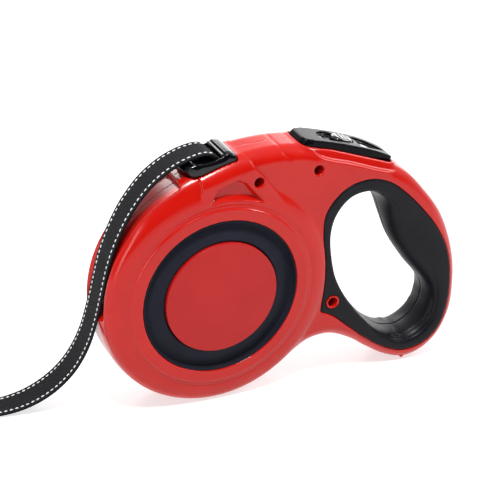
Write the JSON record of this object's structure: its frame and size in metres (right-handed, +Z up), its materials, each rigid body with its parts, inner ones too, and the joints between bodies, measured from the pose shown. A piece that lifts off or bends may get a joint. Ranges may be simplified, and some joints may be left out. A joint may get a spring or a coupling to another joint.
{
  "type": "retractable leash",
  "caption": "Hand-held retractable dog leash: round spring-reel case with a ring handle, rubber grip, brake button, flat tape led out of a front nozzle and a swivel snap hook.",
  "frame": {"origin": "centre of the bounding box of the case and handle in X and Y, on the surface they stand on (free tape and hook left out)", "axes": "+Z up as it stands on its belly and handle; the tape leaves towards -X, the ring handle is at +X, the reel turns about Y"},
  "size_m": [0.3605, 0.0615, 0.1268],
  "materials": {
    "red_shell": "bright red glossy moulded ABS",
    "red_cap": "flat satin-gloss red moulded disc",
    "ring_plate": "fine-textured black moulding",
    "grip_rubber": "soft black thermoplastic rubber",
    "gloss_black": "polished black acetal",
    "button_black": "semi-gloss black moulding",
    "sleeve_black": "satin black moulding",
    "tape_web": "woven black nylon webbing with two rows of pale reflective stitching",
    "acetal": "natural off-white acetal",
    "steel": "zinc-plated steel",
    "spring_steel": "blued spring steel",
    "chrome": "bright plated zinc"
  },
  "bodies": {
    "case": {"shell_left": "red_shell", "shell_right": "red_shell", "ring_insert_left": "ring_plate", "ring_insert_right": "ring_plate", "disc_cap_left": "red_cap", "disc_cap_right": "red_cap", "grip_left": "grip_rubber", "grip_right": "grip_rubber", "nozzle": "gloss_black", "guide_bar": "gloss_black", "button_spring": "spring_steel", "pawl_pin": "steel", "axle": "steel", "axle_screw": "steel", "screw_front": "steel", "screw_root": "steel", "screw_loop": "steel", "tape_lead": "tape_web", "tape_free": "tape_web", "tape_end_loop": "tape_web", "stop_sleeve": "sleeve_black", "hook_eye": "chrome"},
    "reel": {"reel": "acetal", "reel_cover": "acetal", "power_spring": "spring_steel", "tape_roll": "tape_web"},
    "brake": {"brake_button": "button_black"},
    "lock": {"lock_slider": "button_black"},
    "pawl": {"brake_pawl": "acetal"},
    "hook": {"hook_body": "chrome", "hook_spring": "spring_steel"},
    "bolt": {"hook_bolt": "chrome"}
  },
  "joints": [
    {"name": "reel_spin", "type": "hinge", "parent": "case", "child": "reel", "pos_m": [-0.03639, 0, 0.05575], "axis": [0, 1, 0], "continuous": true},
    {"name": "brake_press", "type": "slide", "parent": "case", "child": "brake", "axis": [-0.3305, 0, -0.9438], "range_m": [0, 0.0024], "stiffness_N_per_m": 600, "deforming": ["button_spring"]},
    {"name": "lock_slide", "type": "slide", "parent": "brake", "child": "lock", "axis": [-0.9438, 0, 0.3305], "range_m": [0, 0.004]},
    {"name": "pawl_swing", "type": "hinge", "parent": "case", "child": "pawl", "pos_m": [-0.00576, 0, 0.11512], "axis": [0, 1, 0], "range_deg": [0, 9.6]},
    {"name": "hook_swivel", "type": "hinge", "parent": "case", "child": "hook", "pos_m": [-0.22614, 0.02823, 0.005], "axis": [-0.9869, 0.1615, 0], "continuous": true},
    {"name": "bolt_slide", "type": "slide", "parent": "hook", "child": "bolt", "axis": [0.9869, -0.1615, 0], "range_m": [0, 0.006], "stiffness_N_per_m": 150, "deforming": ["hook_spring"]}
  ],
  "couplings": [
    {"joint": "pawl_swing", "follows": "brake_press", "rad_per_m": 68.359}
  ]
}
